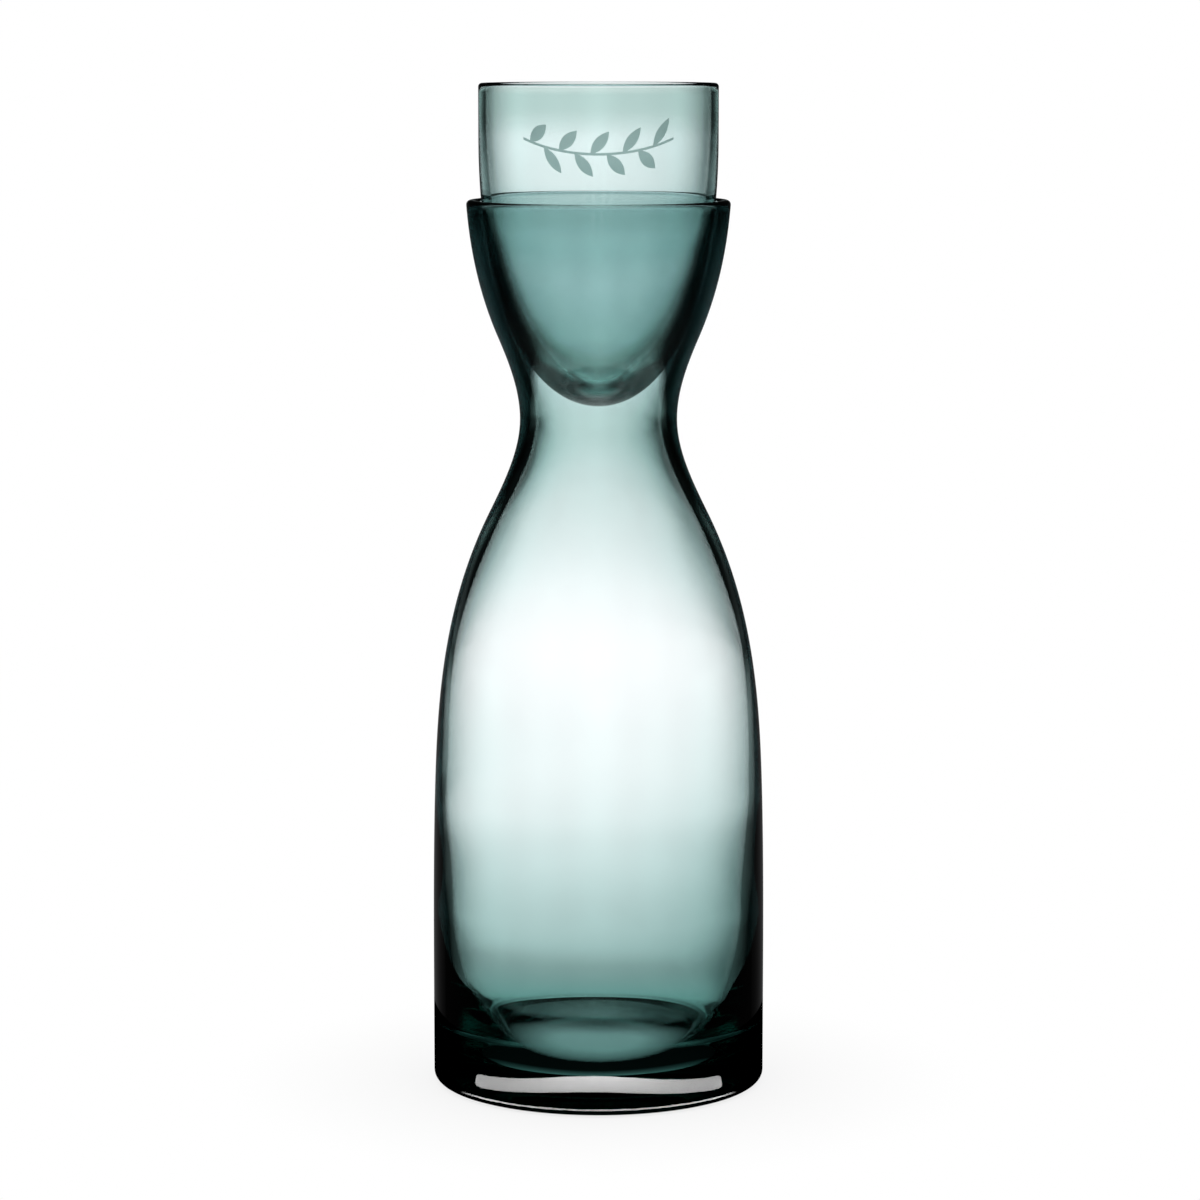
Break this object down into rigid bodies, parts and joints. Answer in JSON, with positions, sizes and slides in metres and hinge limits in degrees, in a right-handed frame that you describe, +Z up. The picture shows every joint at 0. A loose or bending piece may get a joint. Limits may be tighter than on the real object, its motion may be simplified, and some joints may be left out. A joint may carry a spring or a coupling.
{
  "type": "bedside carafe with tumbler",
  "caption": "Waisted glass carafe for the bedside, with a flared mouth that is a cup for a round-bottomed tumbler, which serves as its lid.",
  "frame": {"origin": "on the floor plane under the middle of the carafe's base", "axes": "+Z up the axis that both pieces are round about, -Y towards the viewer of the picture"},
  "size_m": [0.09, 0.09, 0.2705],
  "materials": {
    "carafe_glass": "clear smoky teal, fire-polished",
    "tumbler_glass": "clear smoky teal, fire-polished, with a frosted sprig on its front"
  },
  "bodies": {
    "carafe": {"carafe": "carafe_glass"},
    "tumbler": {"tumbler": "tumbler_glass"}
  },
  "joints": [
    {"name": "tumbler_lift", "type": "slide", "parent": "carafe", "child": "tumbler", "axis": [0, 0, 1], "range_m": [0, 0.12]}
  ]
}
